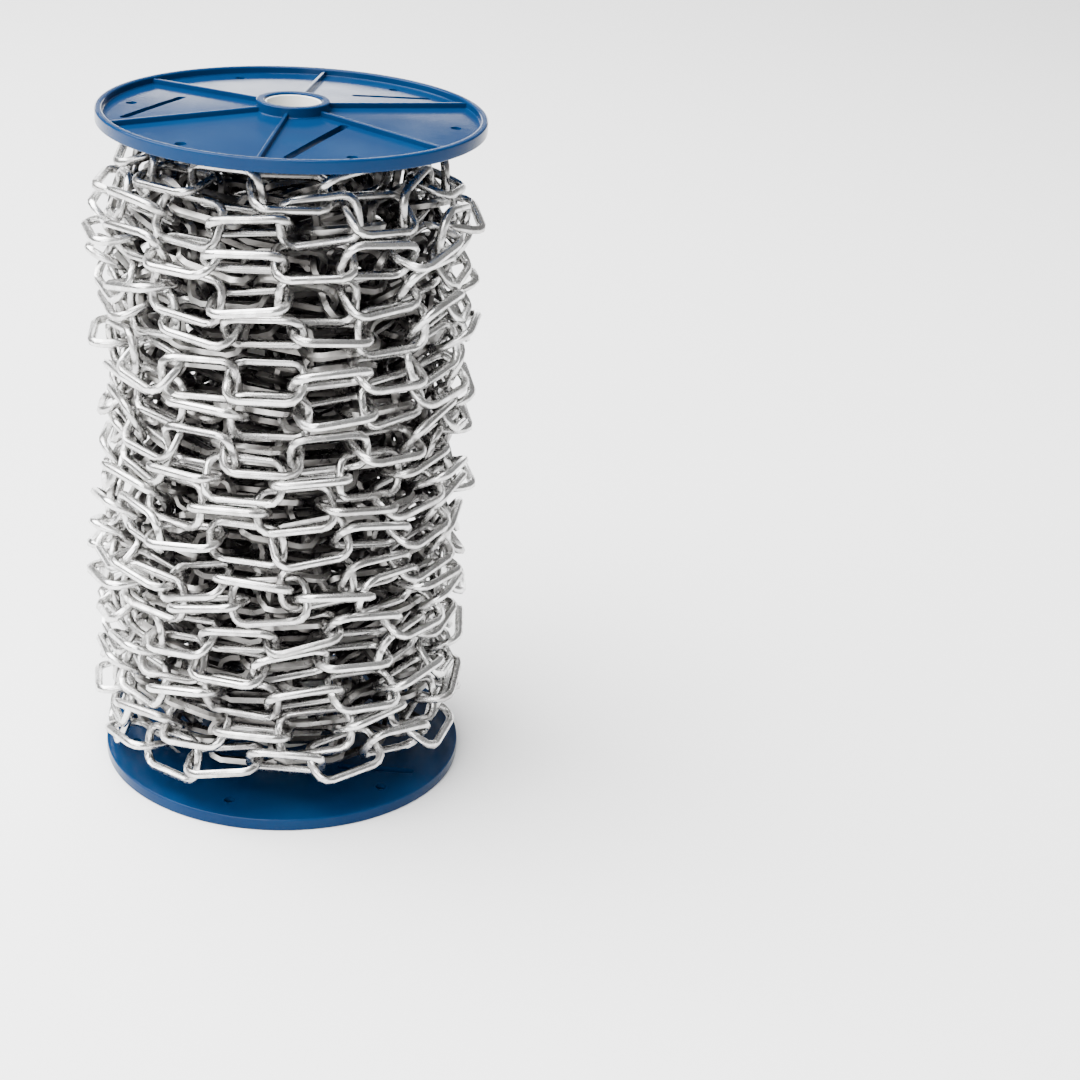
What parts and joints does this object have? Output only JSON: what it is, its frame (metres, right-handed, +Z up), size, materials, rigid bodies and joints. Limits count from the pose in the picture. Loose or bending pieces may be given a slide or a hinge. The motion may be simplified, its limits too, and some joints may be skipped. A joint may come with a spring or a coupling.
{
  "type": "reel of steel chain",
  "caption": "Blue-flanged moulded reel standing on its end, wound full with long-link bright steel chain, ready to cut to length.",
  "frame": {"origin": "centre of the bottom flange's rim plane, on the floor", "axes": "+Z up along the reel's axis; -Y is the side that the picture shows"},
  "size_m": [0.1975, 0.1984, 0.355],
  "materials": {
    "blue_plastic": "moulded, satin, slightly mottled",
    "grey_plastic": "matt light grey",
    "shaded_steel": "steel in shade between the outer rows",
    "bright_steel": "bright zinc-plated wire"
  },
  "bodies": {
    "root": {"flange_bottom": "blue_plastic", "flange_top": "blue_plastic", "core_tube": "grey_plastic", "winding_core": "shaded_steel", "chain_first_link": "bright_steel", "chain_turn_01": "bright_steel", "chain_turn_02": "bright_steel", "chain_turn_03": "bright_steel", "chain_turn_04": "bright_steel", "chain_turn_05": "bright_steel", "chain_turn_06": "bright_steel", "chain_turn_07": "bright_steel", "chain_turn_08": "bright_steel", "chain_turn_09": "bright_steel", "chain_turn_10": "bright_steel", "chain_turn_11": "bright_steel", "chain_turn_12": "bright_steel", "chain_turn_13": "bright_steel", "chain_turn_14": "bright_steel", "chain_turn_15": "bright_steel", "chain_turn_16": "bright_steel", "chain_turn_17": "bright_steel", "chain_turn_18": "bright_steel", "chain_last_link": "bright_steel"}
  },
  "joints": []
}
